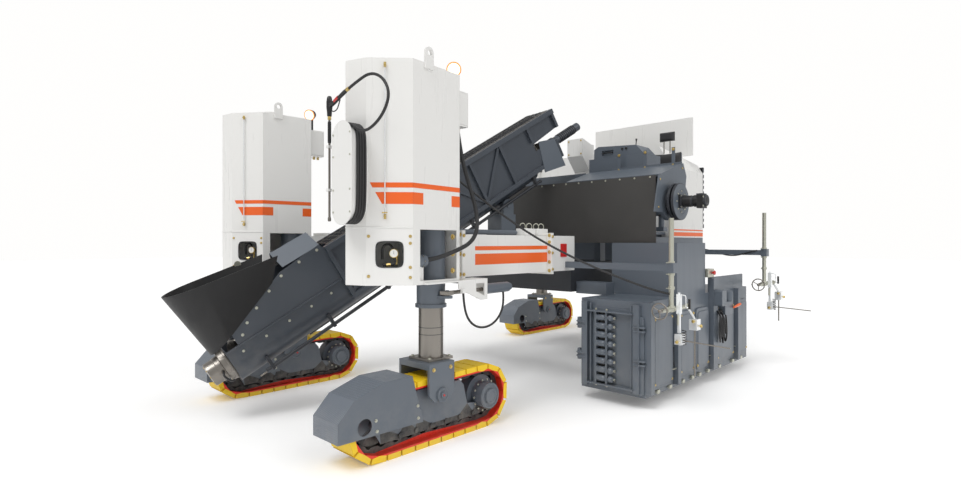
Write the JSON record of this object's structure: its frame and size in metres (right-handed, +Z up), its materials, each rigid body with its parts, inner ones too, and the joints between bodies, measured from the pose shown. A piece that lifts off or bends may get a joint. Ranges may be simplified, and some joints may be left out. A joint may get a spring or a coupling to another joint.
{
  "type": "slipform paver",
  "caption": "Slipform paver on crawlers: lifting leg towers, inclined auger conveyor with a rubber hopper, cross auger trough and an offset concrete mould beside the frame.",
  "frame": {"origin": "on the ground under the middle of the machine's outside box", "axes": "+X towards travel, +Y towards the mould side, +Z up"},
  "size_m": [7.808, 4.9323, 3.6774],
  "materials": {
    "white_paint": "gloss white paint with orange bands",
    "grey_paint": "semi-gloss blue-grey paint",
    "dark_paint": "dark charcoal paint",
    "yellow_track": "worn yellow polyurethane pads on red shoes",
    "bare_steel": "bare ground steel",
    "zinc": "zinc plated steel",
    "black_rubber": "black rubber sheet and hose",
    "engine_iron": "dark engine castings",
    "seat_cover": "black seat cover"
  },
  "bodies": {
    "chassis": {"cooler_cowl": "dark_paint", "side_cabinet": "white_paint", "wash_lance": "zinc", "wash_hose": "black_rubber", "tower_hose": "black_rubber", "steer_hose": "black_rubber", "mast_cable": "black_rubber", "leg_tower_left": "white_paint", "leg_tower_right": "white_paint", "leg_tower_rear": "white_paint", "steer_cylinders": "grey_paint", "front_frame": "white_paint", "main_frame": "dark_paint", "rear_body": "grey_paint", "engine_hood": "white_paint", "engine": "engine_iron", "platform_deck": "grey_paint", "control_console": "grey_paint", "operator_seat": "seat_cover", "cross_trough": "grey_paint", "trough_apron": "black_rubber", "auger_drive": "dark_paint", "mould_hopper": "grey_paint", "mould_body": "grey_paint", "mould_front": "grey_paint", "sensor_booms": "grey_paint", "sensor_masts": "zinc", "hose_reel": "white_paint", "wash_hose_coil": "black_rubber"},
    "lid": {"engine_lid": "white_paint"},
    "cross_auger": {"cross_auger": "bare_steel"},
    "feed_turret": {"feed_pedestal": "grey_paint"},
    "feed_conveyor": {"feed_trough": "grey_paint", "feed_truss": "dark_paint", "feed_mesh": "bare_steel", "hopper_flap": "black_rubber", "feed_drive": "bare_steel", "feed_spout": "grey_paint"},
    "feed_auger": {"feed_auger": "bare_steel"},
    "steer_left": {"steer_collar_left": "grey_paint"},
    "leg_left": {"leg_column_left": "bare_steel", "leg_fork_left": "grey_paint", "track_belt_left": "yellow_track", "track_frame_left": "dark_paint", "track_guard_left": "grey_paint"},
    "rod_left": {"steer_rod_left": "bare_steel"},
    "steer_right": {"steer_collar_right": "grey_paint"},
    "leg_right": {"leg_column_right": "bare_steel", "leg_fork_right": "grey_paint", "track_belt_right": "yellow_track", "track_frame_right": "dark_paint", "track_guard_right": "grey_paint"},
    "rod_right": {"steer_rod_right": "bare_steel"},
    "steer_rear": {"steer_collar_rear": "grey_paint"},
    "leg_rear": {"leg_column_rear": "bare_steel", "leg_fork_rear": "grey_paint", "track_belt_rear": "yellow_track", "track_frame_rear": "dark_paint", "track_guard_rear": "grey_paint"},
    "rod_rear": {"steer_rod_rear": "bare_steel"}
  },
  "joints": [
    {"name": "steer_left", "type": "hinge", "parent": "chassis", "child": "steer_left", "pos_m": [2.3272, 0.7248, 1.3], "axis": [0, 0, 1], "range_deg": [-25, 25]},
    {"name": "lift_left", "type": "slide", "parent": "steer_left", "child": "leg_left", "axis": [0, 0, 1], "range_m": [-0.5, 0.4]},
    {"name": "rod_left", "type": "slide", "parent": "chassis", "child": "rod_left", "axis": [0.9945, 0.1045, 0], "range_m": [-0.081, 0.081]},
    {"name": "steer_right", "type": "hinge", "parent": "chassis", "child": "steer_right", "pos_m": [2.2872, -1.8332, 1.3], "axis": [0, 0, 1], "range_deg": [-25, 25]},
    {"name": "lift_right", "type": "slide", "parent": "steer_right", "child": "leg_right", "axis": [0, 0, 1], "range_m": [-0.5, 0.4]},
    {"name": "rod_right", "type": "slide", "parent": "chassis", "child": "rod_right", "axis": [0.9976, -0.0698, 0], "range_m": [-0.081, 0.081]},
    {"name": "steer_rear", "type": "hinge", "parent": "chassis", "child": "steer_rear", "pos_m": [-3.0728, -2.2242, 1.3], "axis": [0, 0, 1], "range_deg": [-25, 25]},
    {"name": "lift_rear", "type": "slide", "parent": "steer_rear", "child": "leg_rear", "axis": [0, 0, 1], "range_m": [-0.5, 0.4]},
    {"name": "rod_rear", "type": "slide", "parent": "chassis", "child": "rod_rear", "axis": [-1, 0, 0], "range_m": [-0.081, 0.081]},
    {"name": "lid_hinge", "type": "hinge", "parent": "chassis", "child": "lid", "pos_m": [-3.1803, -0.5542, 3.05742], "axis": [0, 1, 0], "range_deg": [0, 80]},
    {"name": "cross_auger_spin", "type": "hinge", "parent": "chassis", "child": "cross_auger", "pos_m": [-0.7728, -0.5542, 2.17], "axis": [0, 1, 0], "continuous": true},
    {"name": "feed_slew", "type": "hinge", "parent": "chassis", "child": "feed_turret", "pos_m": [0.20442, -0.34353, 1.8], "axis": [0, 0, 1], "range_deg": [0, 6]},
    {"name": "feed_tilt", "type": "hinge", "parent": "feed_turret", "child": "feed_conveyor", "pos_m": [0.20442, -0.34353, 2.15892], "axis": [-0.2164, -0.9763, 0], "range_deg": [0, 5]},
    {"name": "feed_auger_spin", "type": "hinge", "parent": "feed_conveyor", "child": "feed_auger", "pos_m": [3.43721, -1.06023, 0.48769], "axis": [-0.8386, 0.1859, 0.512], "continuous": true}
  ],
  "couplings": [
    {"joint": "rod_left", "follows": "steer_left", "m_per_rad": -0.18403},
    {"joint": "rod_right", "follows": "steer_right", "m_per_rad": -0.18403},
    {"joint": "rod_rear", "follows": "steer_rear", "m_per_rad": -0.18403}
  ]
}
